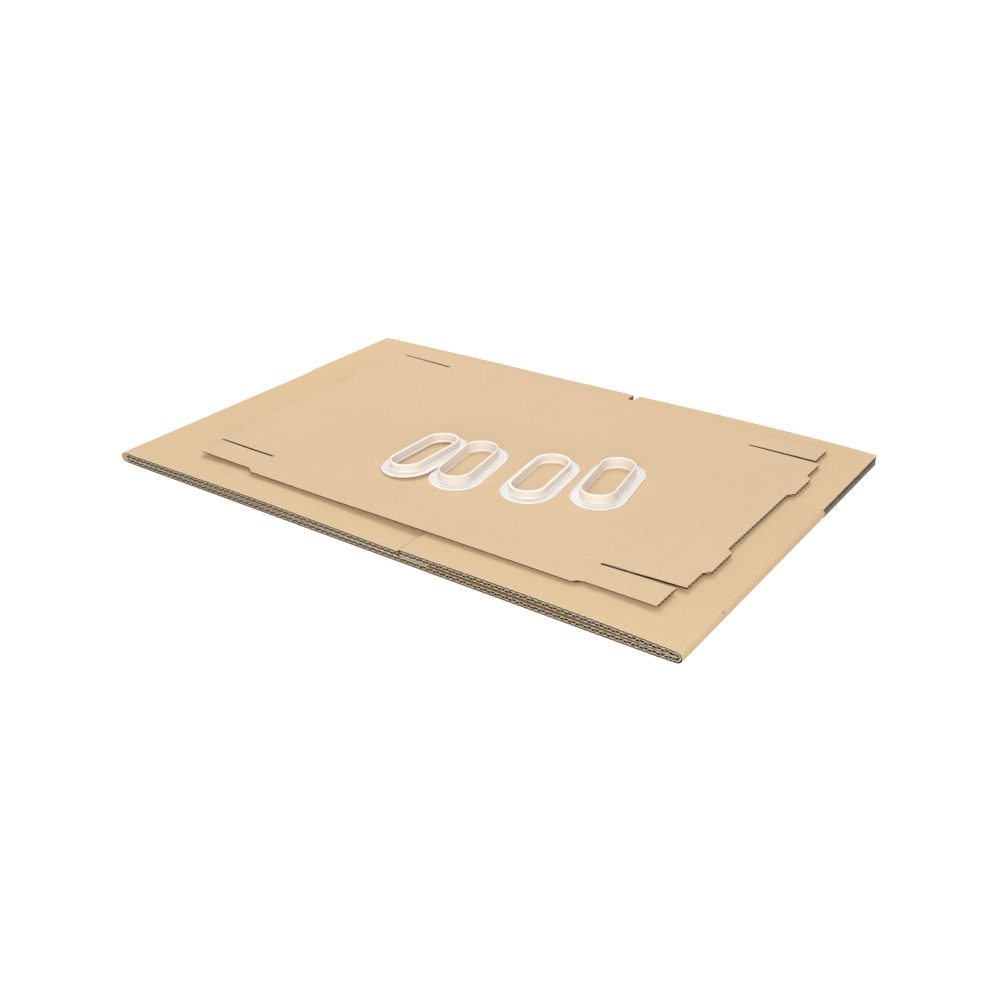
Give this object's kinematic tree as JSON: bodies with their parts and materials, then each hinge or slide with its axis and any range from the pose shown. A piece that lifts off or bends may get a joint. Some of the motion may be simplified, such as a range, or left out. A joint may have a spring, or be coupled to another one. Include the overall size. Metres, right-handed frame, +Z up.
{
  "type": "flat-packed corrugated storage box",
  "caption": "Corrugated storage box delivered flat: folded double-wall body, die-cut lid blank and loose plastic hand-hole rings.",
  "frame": {"origin": "middle of the footprint, on the surface that the folded body lies on", "axes": "+X along the long side, -Y to the body's open edge, +Z up"},
  "size_m": [0.71, 0.464, 0.0322],
  "materials": {
    "double_wall_board": "uncoated brown kraft liner, matte",
    "single_wall_board": "uncoated brown kraft liner, matte, a little pinker",
    "milky_plastic": "translucent milky polypropylene, smooth"
  },
  "bodies": {
    "root": {"box_body": "double_wall_board", "lid_blank": "single_wall_board", "handle_ring_1": "milky_plastic", "handle_ring_2": "milky_plastic", "handle_ring_3": "milky_plastic", "handle_ring_4": "milky_plastic"}
  },
  "joints": []
}
